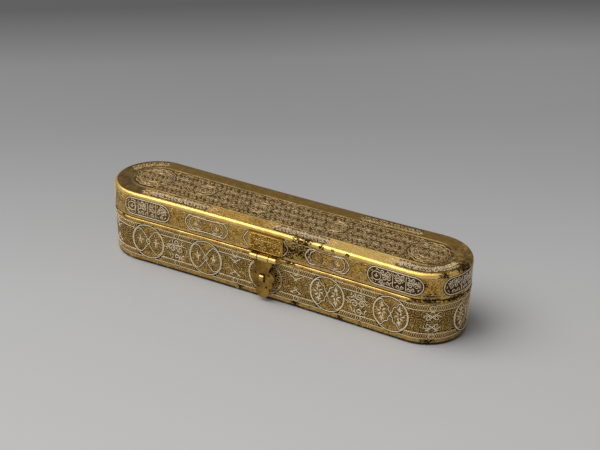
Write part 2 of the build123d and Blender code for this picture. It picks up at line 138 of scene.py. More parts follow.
def plan(along, inset):
    """The outline's point at a place along it, moved inwards."""
    s = around(along)
    side = math.copysign(1, s)
    s = abs(s)
    if side_arc < s < side_arc + end_arc:
        a = -math.pi / 2 - end_turn + (s - side_arc) / end_radius
        r = end_radius - inset
        return side * (end_x + r * math.cos(a)), r * math.sin(a)
    a = (s if s <= side_arc else perimeter / 2 - s) / side_radius
    x = (side_radius + inset) * math.sin(a)
    y = (side_radius + inset) * math.cos(a) - side_y
    return side * x, y if s <= side_arc else -y


# Surfaces that carry ornament: each turns two pattern coordinates and a rise into a point
def on_case(along, z, rise):
    return Vector((*plan(along, foot_inset * max(0.0, 1 - z / rim_bottom) - rise), z))


def on_lid(along, z, rise):
    return Vector((*plan(along, -rise), z))


def on_top(x, y, rise):
    return Vector((x, y, lid_height + rise))


def on_top_band(along, inset, rise):
    return Vector((*plan(along, inset), lid_height + rise))


def on_plate(along, z, rise):
    return Vector((*plan(along, -plate_thickness - rise), z))


# Lines of a pattern, as lists of points in its two coordinates
def arc(x, y, radius, start, end):
    count = max(4, round(abs(end - start) * math.pi / 180 * radius / fine_step))
    angles = [math.radians(start + (end - start) * i / count) for i in range(count + 1)]
    return [(x + radius * math.cos(a), y + radius * math.sin(a)) for a in angles]


def ring_line(x, y, radius):
    return arc(x, y, radius, 0, 360)[:-1]


def lobed_ring(x, y, radius, lobes, depth):
    """A closed line that bulges out in lobes."""
    count = round(2 * math.pi * radius / fine_step)
    points = []
    for i in range(count):
        a = 2 * math.pi * i / count
        r = radius - depth * (1 - abs(math.sin(lobes * a / 2)))
        points.append((x + r * math.cos(a), y + r * math.sin(a)))
    return points


def straight(start, end):
    count = max(3, round(math.dist(start, end) / straight_step))
    return [tuple(a + (b - a) * i / count for a, b in zip(start, end)) for i in range(count + 1)]


def smooth(points, closed=False):
    """A round line through the points."""
    count = len(points)
    line = []
    for i in range(count if closed else count - 1):
        near = range(i - 1, i + 3)
        a, b, c, d = (points[k % count if closed else min(max(k, 0), count - 1)] for k in near)
        parts = max(2, round(math.dist(b, c) / fine_step))
        for j in range(parts):
            t = j / parts
            line.append(tuple(
                0.5 * (2 * q + (r - p) * t + (2 * p - 5 * q + 4 * r - s) * t**2
                       + (3 * q - p - 3 * r + s) * t**3)
                for p, q, r, s in zip(a, b, c, d)
            ))
    return line if closed else line + [points[-1]]


def runs(points, inside):
    """The stretches of a line that lie inside, apart from those of three points or fewer."""
    found = []
    run = []
    for p in points:
        if inside(*p):
            run.append(p)
        else:
            found.append(run)
            run = []
    return [r for r in [*found, run] if len(r) > 3]


def anywhere(x, y):
    """The limit of a pattern that has none."""
    return True


def add(name, data):
    """A new object, linked to the scene."""
    item = bpy.data.objects.new(name, data)
    bpy.context.scene.collection.objects.link(item)
    return item


class Relief:
    """A pattern on one surface, gathered as one mesh of closed, slightly sunk solids."""

    def __init__(self, surface, grooves=None):
        """Grooves is another relief that takes a dark groove round each wire and leaf."""
        self.surface = surface
        self.grooves = grooves
        self.verts = []
        self.faces = []

    def tube(self, rings, closed=False):
        """Joins sections, each a list of pattern points with a rise, into a closed solid."""
        size = len(rings[0])
        first = len(self.verts)
        for ring in rings:
            self.verts += [self.surface(*corner) * mm for corner in ring]
        count = len(rings)
        for i in range(count if closed else count - 1):
            a = first + i * size
            b = first + (i + 1) % count * size
            for k in range(size):
                n = (k + 1) % size
                self.faces.append((a + k, a + n, b + n, b + k))
        if not closed:
            self.faces.append(tuple(range(first + size - 1, first - 1, -1)))
            last = first + (count - 1) * size
            self.faces.append(tuple(range(last, last + size)))

    def ribbon(self, line, width=line_width, rise=line_rise, closed=False, tips=1.0):
        """A wire let into the surface along a line. Tips is the share of the width at its open ends."""
        count = len(line)
        if self.grooves:
            self.grooves.ribbon(line, width + groove_margin, groove_rise, closed, tips)
        rings = []
        for i, (x, y) in enumerate(line):
            before = line[i - 1] if i or closed else line[0]
            after = line[(i + 1) % count] if i < count - 1 or closed else line[-1]
            dx, dy = after[0] - before[0], after[1] - before[1]
            size = math.hypot(dx, dy) or 1.0
            nx, ny = -dy / size, dx / size
            share = 1.0 if closed else min(1.0, tips + min(i, count - 1 - i) * fine_step / taper)
            half = width / 2 * share
            top = rise * (0.4 + 0.6 * share)
            rings.append([
                (x + nx * half * k, y + ny * half * k, h)
                for k, h in ((1, -sunk), (0.5, top), (-0.5, top), (-1, -sunk))
            ])
        self.tube(rings, closed)

    def leaf(self, x, y, angle, size, breadth, bend=0.0, rise=line_rise):
        """A pointed leaf with a raised rib. Angles are in degrees."""
        if self.grooves:
            self.grooves.leaf(x, y, angle, size + groove_margin / 2, breadth + groove_margin, bend,
                              groove_rise)
        steps = 5
        rings = []
        for i in range(steps + 1):
            t = i / steps
            a = math.radians(angle + bend * t)
            half = breadth / 2 * (0.15 + 0.85 * math.sin(math.pi * t**0.75))
            nx, ny = -math.sin(a) * half, math.cos(a) * half
            rings.append([
                (x + nx, y + ny, -sunk), (x, y, rise * (1 - 0.4 * t)), (x - nx, y - ny, -sunk),
            ])
            x += math.cos(a) * size / steps
            y += math.sin(a) * size / steps
        self.tube(rings)

    def strip(self, start, end, lower, upper, rise=panel_rise, step=1.5):
        """A thin plate between two edges, each a number or a function of the first coordinate."""
        count = max(2, math.ceil((end - start) / step))
        rings = []
        for i in range(count + 1):
            a = start + (end - start) * i / count
            b = lower(a) if callable(lower) else lower
            t = upper(a) if callable(upper) else upper
            rings.append([(a, b, -sunk), (a, b, rise), (a, t, rise), (a, t, -sunk)])
        self.tube(rings)

    def scroll(self, x, y, radius, start, hand, turns, width, rise, leaves, inside=anywhere):
        """A vine that winds in to a bud, with leaves on its outer side."""
        winding = 0.78
        count = max(8, round(turns * 2 * math.pi * radius * 0.6 / fine_step))
        line = []
        for i in range(count + 1):
            t = i / count
            a = math.radians(start) + hand * turns * 2 * math.pi * t
            r = radius * (1 - winding * t)
            line.append((x + r * math.cos(a), y + r * math.sin(a)))
        for run in runs(line, inside):
            self.ribbon(run, width, rise, tips=0.5)
        if inside(x, y):
            self.leaf(*line[-1], start + hand * turns * 360 + hand * 90, radius * 0.55, radius * 0.42,
                      rise=rise)
        for k in range(leaves):
            px, py = line[round(count * (0.04 + 0.66 * k / leaves))]
            out = math.degrees(math.atan2(py - y, px - x))
            if inside(px, py):
                self.leaf(px, py, out + hand * (55 if k % 2 else 15), radius * 0.5, radius * 0.3,
                          bend=hand * 40, rise=rise)

    def vine(self, lower, upper, start, end, rows, radius, width, rise, inside, leaves, loose):
        """Rows of scrolls that turn against each other and fill a band, each loosely in its place."""
        gap = (upper - lower) / rows
        spacing = 1.85 * radius
        count = max(2, round((end - start) / spacing))
        pitch = (end - start) / count
        for row in range(rows):
            for i in range(count + row % 2):
                x = start + (i + 0.5 * (1 - row % 2)) * pitch + chance.uniform(-loose, loose)
                y = lower + (row + 0.5) * gap + chance.uniform(-loose, loose)
                hand = 1 if (i + row) % 2 else -1
                turn = 180 * (i % 2) + chance.uniform(-80, 80) * loose
                self.scroll(x, y, radius, turn, hand, 1.3, width, rise, leaves, inside)

    def flower(self, x, y, size, angle, fat):
        """A small palmette: three leaves in a fan over two curls."""
        for spread, share in ((-75, 0.75), (0, 1.0), (75, 0.75)):
            reach = size * share
            self.leaf(x, y, angle + spread, reach, reach * 0.46 * fat, spread * 0.25)
        for hand in (-1, 1):
            self.leaf(x, y, angle + 180 + hand * 42, size * 0.65, size * 0.3 * fat, -hand * 50)

    def rosette(self, x, y, radius, size, breadth, lean=0.0, bend=0.0):
        """Six leaves that stand outwards on a circle."""
        for angle in range(0, 360, 60):
            a = math.radians(angle)
            self.leaf(x + radius * math.cos(a), y + radius * math.sin(a), angle + lean, size, breadth, bend)

    def piece(self, name, material, body, smooth_shaded=True):
        """The finished mesh, riding on its body."""
        mesh = bpy.data.meshes.new(name)
        mesh.from_pydata(self.verts, [], self.faces)
        mesh.update()
        for face in mesh.polygons:
            face.use_smooth = smooth_shaded
        mesh.materials.append(material)
        item = add(name, mesh)
        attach(item, body)


def tone(red, green, blue):
    """A colour given in sRGB bytes, as linear values."""
    def linear(value):
        v = value / 255
        return v / 12.92 if v <= 0.04045 else ((v + 0.055) / 1.055) ** 2.4
    return (linear(red), linear(green), linear(blue), 1.0)


class Shader:
    """A material made of nodes, painted in the object's own coordinates."""

    def __init__(self, name, metallic, roughness):
        self.material = bpy.data.materials.new(name)
        self.material.use_nodes = True
        self.tree = self.material.node_tree
        self.surface = self.tree.nodes["Principled BSDF"]
        self.surface.inputs["Metallic"].default_value = metallic
        self.surface.inputs["Roughness"].default_value = roughness
        places = self.node("ShaderNodeTexCoord")
        self.place = places.outputs["Object"]
        self.normal = places.outputs["Normal"]

    def node(self, kind, **inputs):
        """A new node. An underscore in the name of an input stands for a space."""
        made = self.tree.nodes.new(kind)
        for key, value in inputs.items():
            self.feed(made.inputs[key.replace("_", " ")], value)
        return made

    def feed(self, socket, value):
        """Links another node's output to a socket, or sets the socket itself."""
        if isinstance(value, bpy.types.NodeSocket):
            self.tree.links.new(value, socket)
        else:
            socket.default_value = value

    def outside(self, height):
        """One on the faces that look away from the middle of the box at that height, nought inside."""
        away = self.node("ShaderNodeVectorMath", Vector=self.place)
        away.operation = "SUBTRACT"
        away.inputs[1].default_value = (0, 0, height * mm)
        facing = self.node("ShaderNodeVectorMath", Vector=away.outputs["Vector"])
        facing.operation = "DOT_PRODUCT"
        self.feed(facing.inputs[1], self.normal)
        return self.math("GREATER_THAN", facing.outputs["Value"], 0.0)

    def noise(self, scale, detail=3.0, roughness=0.55, distortion=0.0):
        made = self.node("ShaderNodeTexNoise", Vector=self.place, Scale=scale, Detail=detail,
                         Roughness=roughness, Distortion=distortion)
        return made.outputs["Fac"]

    def cells(self, scale):
        return self.node("ShaderNodeTexVoronoi", Vector=self.place, Scale=scale).outputs["Distance"]

    def axis(self, name):
        return self.node("ShaderNodeSeparateXYZ", Vector=self.place).outputs[name]

    def math(self, operation, a, b):
        made = self.tree.nodes.new("ShaderNodeMath")
        made.operation = operation
        self.feed(made.inputs[0], a)
        self.feed(made.inputs[1], b)
        return made.outputs[0]

    def both(self, a, b):
        return self.math("MULTIPLY", a, b)

    def either(self, a, b):
        return self.math("MAXIMUM", a, b)

    def span(self, value, start, end, low_out=0.0, high_out=1.0):
        """Value from start to end turned smoothly into low_out to high_out."""
        made = self.node("ShaderNodeMapRange", Value=value, From_Min=start, From_Max=end,
                         To_Min=low_out, To_Max=high_out)
        made.interpolation_type = "SMOOTHSTEP"
        return made.outputs["Result"]

    def zone(self, name, start, end, blur):
        """One between two places on an axis in millimetres, fading out over the blur."""
        place = self.axis(name)
        after = self.span(place, (start - blur / 2) * mm, (start + blur / 2) * mm)
        before = self.span(place, (end + blur / 2) * mm, (end - blur / 2) * mm)
        return self.both(after, before)

    def spots(self, places, level=0.53):
        """Ragged patches, each given by its middle and its reach in millimetres."""
        ragged = self.noise(620, 5, 0.7)
        found = None
        for x, y, z, reach in places:
            away = self.node("ShaderNodeVectorMath", Vector=self.place)
            away.operation = "DISTANCE"
            away.inputs[1].default_value = (x * mm, y * mm, z * mm)
            near = self.span(away.outputs["Value"], reach * mm, reach * 0.3 * mm, 0.0, 0.22)
            found = near if found is None else self.either(found, near)
        shown = self.math("ADD", ragged, found)
        return self.both(self.span(shown, level + 0.07, level + 0.18), self.span(found, 0.0, 0.05))

    def mix(self, share, a, b):
        """The colour a where share is nought and b where it is one."""
        made = self.tree.nodes.new("ShaderNodeMix")
        made.data_type = "RGBA"
        factor, first, second, result = 0, 6, 7, 2
        self.feed(made.inputs[factor], share)
        self.feed(made.inputs[first], a)
        self.feed(made.inputs[second], b)
        return made.outputs[result]

    def blend(self, share, a, b):
        """The number a where share is nought and b where it is one."""
        made = self.node("ShaderNodeMapRange", Value=share, To_Min=a, To_Max=b)
        return made.outputs["Result"]

    def inverse(self, share):
        return self.blend(share, 1.0, 0.0)

    def colour(self, value):
        self.feed(self.surface.inputs["Base Color"], value)

    def roughness(self, value):
        self.feed(self.surface.inputs["Roughness"], value)

    def bump(self, height, depth):
        made = self.node("ShaderNodeBump", Height=height, Distance=depth * mm, Strength=1.0)
        self.feed(self.surface.inputs["Normal"], made.outputs["Normal"])


# Dark brown for real dirt and losses, and also for painted shade: at the foot's bottom edge, the parting
# line, the creases by the barrel and plate, and the shaded ends
dirt_and_shade = tone(58, 42, 20)
bright_brass = tone(208, 170, 98)
barrel_highlight_cream = tone(252, 214, 132)

# Spans near the ends of the box that are duller, each with its blur: darker partly with patina and partly
# as painted shade where the ends turn from the light
left_end = (-160, -134, 12)
right_end = (118, 160, 20)

# Patches where the surface is lost: the middle and the reach of each. Some stand for painted shade: the
# cast shadow to the right of the hasp, on the case and its silver, and the dark parting line at the round
# ends of the rim and at the right end of the lid's wall, there partly loss and partly painted shade
case_losses_and_shade = [
    (124, -25, 4, 7), (24, -29, 4, 6), (60, -29, 3, 5), (-20, -29, 3, 5), (-118, -28, 31, 4),
    (139, -10, 12, 8), (112, -29, 30, 6), (10, -29, 28, 8), (11, -29, 20, 7), (9, -29, 11, 4),
]
rim_losses_and_shade = [
    (122, -27, 35, 17), (138, -14, 35, 17), (141, 4, 35, 14), (20, -29, 34.5, 7), (-120, -28, 34, 4),
    (-130, -22, 35, 8), (-138, -10, 35, 11),
]
lid_wall_losses_and_shade = [
    (30, -29, 50, 16), (19, -29, 43, 9), (121, -27, 47.5, 4), (126, -26, 35.5, 10), (139, -12, 36, 12),
    (141, 2, 46, 10),
]
lid_edge_losses = [
    (29, -29, 53.6, 12), (44, -29.6, 53.6, 3.5), (53, -29.6, 54, 2.5), (64, -29.8, 53.8, 2.5),
    (133, -22, 53.5, 7), (140, -5, 54, 12),
]
silver_losses_and_shade = [
    (10, -30, 28, 7), (12, -30, 19, 7), (9, -30, 11, 5), (15, -30, 45, 6), (46, -30, 44, 13),
    (2, -31, 49, 9),
]


def punched(shader, bright, mid, dark, fine=1.0):
    """Base colour and depth of brass that is punched and hatched all over."""
    cloud = shader.noise(70, 4)
    blotch = shader.noise(560, 5, 0.7)
    dots = shader.span(shader.cells(800 * fine), 0.08, 0.45)
    hatch = shader.span(shader.noise(1000 * fine, 2, 0.5, 1.4), 0.36, 0.6, 0.1, 1.0)
    pits = shader.both(dots, hatch)
    base = shader.mix(shader.span(cloud, 0.35, 0.68), mid, bright)
    base = shader.mix(shader.span(blotch, 0.48, 0.66, 0.0, 0.75), base, dark)
    return shader.mix(shader.span(pits, 0.0, 0.75), dark, base), pits


def inner_finish(shader, outer, height):
    """Colours the outside, and the inside in plain stained brass. Gives where the outside is."""
    cloud = shader.span(shader.noise(130, 5, 0.65), 0.35, 0.68)
    plain = shader.mix(cloud, tone(120, 92, 46), tone(168, 134, 74))
    skin = shader.outside(height)
    shader.colour(shader.mix(skin, plain, outer))
    return skin


def case_brass():
    """Punched brass with a plainer foot whose bottom edge is darkened as painted shade, and duller ends
    darkened partly with patina and partly as painted shade.
    """
    shader = Shader("case_brass", 1.0, 0.42)
    base, pits = punched(shader, tone(250, 211, 118), tone(220, 180, 95), tone(92, 68, 27))
    foot = shader.zone("Z", -3, foot_line - 0.4, 0.4)
    rubbed = shader.span(shader.noise(240, 4), 0.35, 0.65)
    base = shader.mix(shader.both(foot, rubbed), base, bright_brass)
    # Painted shade: the lowest few millimetres of the foot are darkened in ragged patches, where the bottom
    # edge turns under towards the floor
    painted_foot_shade = shader.span(shader.axis("Z"), 2.5 * mm, 1.6 * mm)
    foot_shade_breakup = shader.span(shader.noise(300, 4), 0.7, 0.54)
    base = shader.mix(shader.both(painted_foot_shade, foot_shade_breakup), base, dirt_and_shade)
    # The ends are darkened partly with patina and partly as painted shade
    dull = shader.either(shader.zone("X", *right_end), shader.zone("X", *left_end))
    base = shader.mix(shader.both(dull, 0.25), base, dirt_and_shade)
    # Lost patches, and painted shadow to the right of the hasp
    lost = shader.spots(case_losses_and_shade, 0.54)
    skin = inner_finish(shader, shader.mix(lost, base, dirt_and_shade), case_middle)
    shader.roughness(shader.blend(pits, 0.55, 0.4))
    shader.bump(shader.both(pits, skin), 0.12)
    return shader.material


def lid_wall_brass():
    """Punched brass over a plain rubbed strip, with painted shade along the parting line and at the left
    end.
    """
    shader = Shader("lid_wall_brass", 1.0, 0.42)
    base, pits = punched(shader, tone(246, 202, 107), tone(218, 174, 88), tone(102, 76, 32), 1.1)
    plain = shader.zone("Z", lid_bottom - 2, lid_low_line - 0.5, 0.3)
    cloud = shader.span(shader.noise(160, 4, 0.6), 0.35, 0.7)
    rubbed = shader.mix(cloud, bright_brass, tone(252, 208, 120))
    base = shader.mix(plain, base, rubbed)
    # Painted shade: a dark band along the lid's bottom edge, at the parting line
    base = shader.mix(shader.zone("Z", lid_bottom - 2, lid_bottom + 0.6, 0.3), base, dirt_and_shade)
    # The left end of the lid's wall is darkened partly with patina and partly as painted shade
    base = shader.mix(shader.both(shader.zone("X", *left_end), 0.3), base, dirt_and_shade)
    # Lost patches, and painted shade at the parting line of the right end
    lost = shader.spots(lid_wall_losses_and_shade)
    skin = inner_finish(shader, shader.mix(lost, base, dirt_and_shade), lid_middle)
    shader.roughness(shader.blend(plain, 0.46, 0.3))
    shader.bump(shader.both(shader.both(pits, skin), shader.inverse(plain)), 0.1)
    return shader.material


def lid_top_brass():
    """Worn smooth, but punched along the front and at the right end, with a painted highlight along the
    front edge.
    """
    shader = Shader("lid_top_brass", 1.0, 0.4)
    base, pits = punched(shader, tone(246, 204, 114), tone(216, 174, 90), tone(132, 100, 46))
    # Painted light: the punched brass is lighter towards the right of the front, as if lit there
    base = shader.mix(shader.both(shader.zone("X", 44, 108, 36), 0.6), base, tone(250, 218, 136))
    cloud = shader.span(shader.noise(240, 5, 0.65), 0.38, 0.64)
    worn = shader.mix(cloud, tone(128, 98, 44), tone(172, 138, 70))
    worn = shader.mix(shader.both(shader.zone("Y", 16, 40, 6), 0.4), worn, tone(208, 162, 70))
    # Painted highlight: the rounded edge along the front half of the lid is painted brighter and smoother,
    # where the lamp's reflection falls
    edge = shader.span(shader.axis("Z"), (lid_height - 0.02) * mm, (lid_height - 0.25) * mm)
    edge = shader.both(edge, shader.span(shader.axis("Y"), 6 * mm, -6 * mm))
    bare = shader.both(shader.zone("X", -150, -103, 8), shader.zone("Y", -40, -4, 6))
    front = shader.both(shader.zone("Y", -40, -15.5, 2), shader.inverse(bare))
    right = shader.both(shader.zone("X", 126, 150, 4), shader.span(shader.noise(260, 4), 0.45, 0.6))
    rough = shader.both(shader.either(front, shader.both(right, 0.6)), shader.inverse(edge))
    base = shader.mix(rough, worn, base)
    gleam = shader.span(shader.noise(200, 4, 0.6), 0.3, 0.7)
    painted_highlight = shader.mix(gleam, tone(244, 194, 100), tone(255, 222, 136))
    base = shader.mix(edge, base, painted_highlight)
    lost = shader.spots(lid_edge_losses)
    skin = inner_finish(shader, shader.mix(lost, base, dirt_and_shade), lid_middle)
    smooth_or_rough = shader.either(shader.blend(rough, 0.34, 0.62), shader.both(edge, 0.46))
    shader.roughness(shader.either(smooth_or_rough, shader.both(lost, 0.7)))
    shader.bump(shader.both(shader.both(pits, skin), shader.blend(rough, 0.3, 1.0)), 0.16)
    return shader.material


def worn_brass(name, bright, dark, rough, depth=0.05, stains=0.7, places=(), painted_highlight=(), shade_bands=()):
    """Plain hammered brass with stains, small scratches and ragged dark patches.

    A span of heights given for the barrel is painted light cream as a painted highlight, and spans given
    for the creases are darkened as painted shade.
    """
    shader = Shader(name, 1.0, rough)
    cloud = shader.noise(90, 4, 0.6)
    stain = shader.noise(420, 5, 0.7)
    scratch = shader.noise(1500, 2, 0.6, 3.0)
    base = shader.mix(shader.span(cloud, 0.32, 0.7), dark, bright)
    base = shader.mix(shader.span(stain, 0.52, 0.78, 0.0, stains), base, dark)
    if painted_highlight:
        # Painted highlight on the barrel
        base = shader.mix(shader.zone("Z", *painted_highlight, 0.6), base, barrel_highlight_cream)
    for start, end in shade_bands:
        # Painted shade in the creases
        base = shader.mix(shader.both(shader.zone("Z", start, end, 0.3), 0.8), base, dirt_and_shade)
    if places:
        base = shader.mix(shader.spots(places), base, dirt_and_shade)
    shader.colour(base)
    shader.roughness(shader.span(scratch, 0.3, 0.7, rough - 0.06, rough + 0.16))
    shader.bump(shader.noise(700, 4, 0.6), depth)
    return shader.material


def silver(name, bright, tarnished, brass, worn, rough, metallic, places=()):
    """Tarnished silver, with brass showing where it is worn, most of all at the places, some of which stand
    for painted shadow.
    """
    shader = Shader(name, metallic, rough)
    tarnish = shader.noise(260, 4, 0.6)
    wear = shader.noise(900, 3, 0.6)
    base = shader.mix(shader.span(tarnish, 0.38, 0.66), tarnished, bright)
    base = shader.mix(shader.span(wear, 0.54, 0.74, 0.0, worn), base, brass)
    if places:
        # The places are worn silver, and beside the hasp painted shadow
        base = shader.mix(shader.both(shader.spots(places, 0.46), 0.85), base, tone(170, 136, 74))
    shader.colour(base)
    shader.roughness(shader.span(wear, 0.3, 0.7, rough - 0.06, rough + 0.14))
    shader.bump(shader.noise(1800, 2), 0.03)
    return shader.material


def sunk_ground(name, dark, brass, share, metallic, darker=None):
    """Sunk ground with dirt and dark compound in it, scuffed so that brass glints through.

    Where darker is given, the ground turns to that colour towards the right end.
    """
    shader = Shader(name, metallic, 0.5)
    scuff = shader.noise(1000, 3, 0.6)
    cloud = shader.noise(160, 3)
    glint = shader.both(shader.span(scuff, 0.46, 0.64), shader.span(cloud, 0.3, 0.7, 0.3, 1.0))
    base = shader.mix(shader.both(glint, share), dark, brass)
    if darker:
        base = shader.mix(shader.span(shader.axis("X"), -20 * mm, 130 * mm), base, darker)
    shader.colour(base)
    shader.roughness(shader.span(scuff, 0.3, 0.7, 0.62, 0.42))
    shader.bump(scuff, 0.06)
    return shader.material


def paint(material, *nodes):
    """Gives a material to nodes of the CAD model."""
    for name in nodes:
        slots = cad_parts[name].data.materials
        slots.clear()
        slots.append(material)


# Heights of the barrel, painted light cream as a painted highlight, and of the creases above it and along
# the plate's top, darkened as painted shade
barrel = (low("hasp_pin") - 1.6, high("hasp_pin") + 0.8)
plate_shade_bands = ((barrel[1] + 0.2, barrel[1] + 1.8), (plate_top - 0.4, plate_top + 1))

relief_brass = worn_brass("relief_brass", tone(255, 218, 140), tone(204, 166, 96), 0.4, 0.03)
frame_brass = worn_brass("frame_brass", tone(196, 170, 116), tone(150, 126, 80), 0.5, 0.03)
plate_relief = worn_brass("plate_relief_brass", tone(240, 200, 108), tone(196, 154, 72), 0.36, 0.03, 0.5)
hinge_brass = worn_brass("hinge_brass_worn", tone(190, 154, 86), tone(124, 94, 46), 0.34)
pin_brass = worn_brass("pin_brass_worn", tone(232, 196, 116), tone(176, 138, 66), 0.26, stains=0.4)
net_brass = worn_brass("net_brass", tone(255, 220, 140), tone(236, 196, 116), 0.4, 0.03, 0.3)
hasp_brass = worn_brass("hasp_brass_worn", tone(190, 152, 72), tone(120, 90, 36), 0.36, 0.06,
                        painted_highlight=barrel)
plate_brass = worn_brass("plate_brass_worn", tone(222, 184, 96), tone(176, 140, 64), 0.36, 0.06, 0.5,
                         painted_highlight=barrel, shade_bands=plate_shade_bands)
fittings_brass = worn_brass("fittings_brass_worn", tone(200, 164, 94), tone(140, 108, 54), 0.32)
# Some of the rim's patches are painted shade at the parting line
rim_brass = worn_brass("rubbed_rim_brass", tone(255, 216, 130), tone(206, 164, 86), 0.4, stains=0.5,
                       places=rim_losses_and_shade)
wall_silver = silver("wall_silver", tone(255, 243, 214), tone(246, 218, 174), tone(190, 158, 104),
                     0.4, 0.4, 0.1, silver_losses_and_shade)
band_silver = silver("band_silver", tone(252, 236, 202), tone(216, 188, 138), tone(156, 124, 66),
                     0.5, 0.5, 0.5)
top_silver = silver("top_silver", tone(228, 204, 156), tone(192, 162, 108), tone(148, 116, 60),
                    0.6, 0.5, 0.8)
cut_fill = sunk_ground("cut_fill", tone(80, 59, 25), tone(172, 135, 66), 0.6, 0.9)
groove_fill = sunk_ground("groove_fill", tone(24, 17, 7), tone(74, 55, 25), 0.3, 0.3)
wall_fill = sunk_ground("black_fill", tone(118, 88, 44), tone(176, 138, 74), 0.8, 0.9, tone(70, 49, 22))
top_fill = sunk_ground("top_fill", tone(86, 64, 29), tone(160, 126, 64), 0.8, 0.9)
border_fill = sunk_ground("border_fill", tone(64, 47, 20), tone(122, 93, 43), 0.5, 0.8)
field_fill = sunk_ground("field_fill", tone(92, 69, 32), tone(160, 126, 64), 0.8, 0.9)
plate_fill = sunk_ground("plate_fill", tone(136, 104, 42), tone(188, 148, 66), 0.6, 0.95)

paint(case_brass(), "case_wall", "base_plate")
paint(lid_wall_brass(), "lid_wall")
paint(lid_top_brass(), "lid_top")
paint(rim_brass, "case_rim", "rim_flange")
paint(hasp_brass, "hasp")
paint(plate_brass, "hasp_plate", "hasp_plate_rivets")
paint(hinge_brass, "hinge_case_leaf_left", "hinge_case_leaf_right", "hinge_lid_leaf_left",
      "hinge_lid_leaf_right")
paint(pin_brass, "hinge_pin_left", "hinge_pin_right", "hinge_case_rivets", "hinge_lid_rivets", "hasp_pin",
      "inkwell_pin", "staple")
paint(fittings_brass, "partition", "deck", "inkwell", "inkwell_cover", "sand_pot", "paste_pot")
paint(wall_silver, "silver_line_foot", "silver_line_rim")
paint(top_silver, "silver_line_lid_low", "silver_line_lid_high")

# Places of the roundels along the outline, the same on the front and the back
first_roundel = 49.5
second_roundel = 98.5
half_places = [0.0, first_roundel, second_roundel, apex, 2 * apex - second_roundel,
               2 * apex - first_roundel]
roundel_places = [*half_places, 2 * apex, *(-p for p in half_places[1:])]
between_places = [(a + b) / 2 for a, b in zip(half_places, [*half_places[1:], 2 * apex])]
bracket_places = [*between_places, *(-p for p in between_places)]

# Upper half of a roundel's lobe, which crosses the other one: plain, and with a step in its shoulders
plain_lobe = [(-1.6, 0), (0.8, 2.8), (3.6, 6.8), (6.8, 9.6), (10.2, 7.6), (12.2, 3.4), (12.7, 0)]
stepped_lobe = [(-0.4, 0), (1.5, 2.6), (2.1, 5.6), (4.6, 7.0), (6.8, 10.0), (9.8, 8.4), (12.2, 4.4),
                (12.7, 0)]

# The roundels and brackets to the right of these places are rich, and so are the brackets of the back
rich_roundels_from = 40
rich_brackets_from = 60
back_from = -150

# Dense knots take the place of the brackets here
knot_place = 74
knot_places = [-knot_place, knot_place, 2 * apex - knot_place, 2 * apex + knot_place]
knot_half_width = 9.5
knot_half_height = 9.0


def outside_roundels(along, z):
    return all(
        math.hypot(around(along - p), z - roundel_height) > roundel_radius + 0.7
        for p in roundel_places
    )


def roundel(relief, place, rich):
    """A ring with two crossed lobes, each with a flower, or with a rosette and two flowers if rich."""
    relief.ribbon(ring_line(place, roundel_height, roundel_radius), closed=True)
    half = stepped_lobe if rich else plain_lobe
    outline = half + [(x, -y) for x, y in reversed(half[1:-1])]
    for hand in (-1, 1):
        lobe = [(place + hand * x, roundel_height + y) for x, y in outline]
        relief.ribbon(smooth(lobe, closed=True), inner_width, closed=True)
        x = place + hand * lobe_middle
        if rich:
            relief.rosette(x, roundel_height, radius=1.0, size=3.7, breadth=2.4, bend=hand * 70)
            for way in (-1, 1):
                relief.flower(x, roundel_height + way * 5.0, size=3.1, angle=way * 90, fat=1.7)
        else:
            relief.flower(x, roundel_height + 0.4, size=4.2, angle=90, fat=1.2)
            relief.leaf(x, roundel_height - 0.6, 270 - hand * 30, size=3.8, breadth=1.8, bend=hand * 60)


def border_ring(relief, place, side):
    """A small ring in the border band above, for side 1, or below, for side -1."""
    height = inner_high_line + ring_offset if side > 0 else inner_low_line - ring_offset
    relief.ribbon(ring_line(place, height, ring_radius), ring_width, closed=True)


def bracket(relief, place, rich):
    """Crossed strokes with leaves above and below, and a small ring in each border band."""
    for way in (-1, 1):
        tip = roundel_height - way * 4.0
        for hand in (-1, 1):
            stroke = [(place - hand * 1.4, tip + way * 1.3), (place + hand * 0.4, tip - way * 0.4),
                      (place + hand * 4.6, tip - way * 3.2)]
            relief.ribbon(smooth(stroke), tips=0.4)
            relief.leaf(place + hand * 1.6, tip - way * 3.4, 90 - 60 * hand * way, size=3.0, breadth=1.8)
        border_ring(relief, place, -way)
    if rich:
        for hand in (-1, 1):
            for way in (-1, 1):
                relief.scroll(place + hand * 3.4, roundel_height + way * 3.0, radius=2.6,
                              start=90 - hand * 90, hand=hand * way, turns=1.1, width=inner_width,
                              rise=line_rise, leaves=3)


def case_knot(relief, place):
    """A dense knot of small scrolls that fills the space between two roundels."""

    def in_knot(along, z):
        across = abs(along - place) / knot_half_width
        up = abs(z - roundel_height) / knot_half_height
        return across + 0.5 * up < 1 and up < 0.95

    relief.vine(roundel_height - knot_half_height, roundel_height + knot_half_height,
                place - knot_half_width, place + knot_half_width, rows=3, radius=3.2, width=line_width,
                rise=line_rise, inside=in_knot, leaves=4, loose=0.6)
    for side in (1, -1):
        border_ring(relief, place, side)


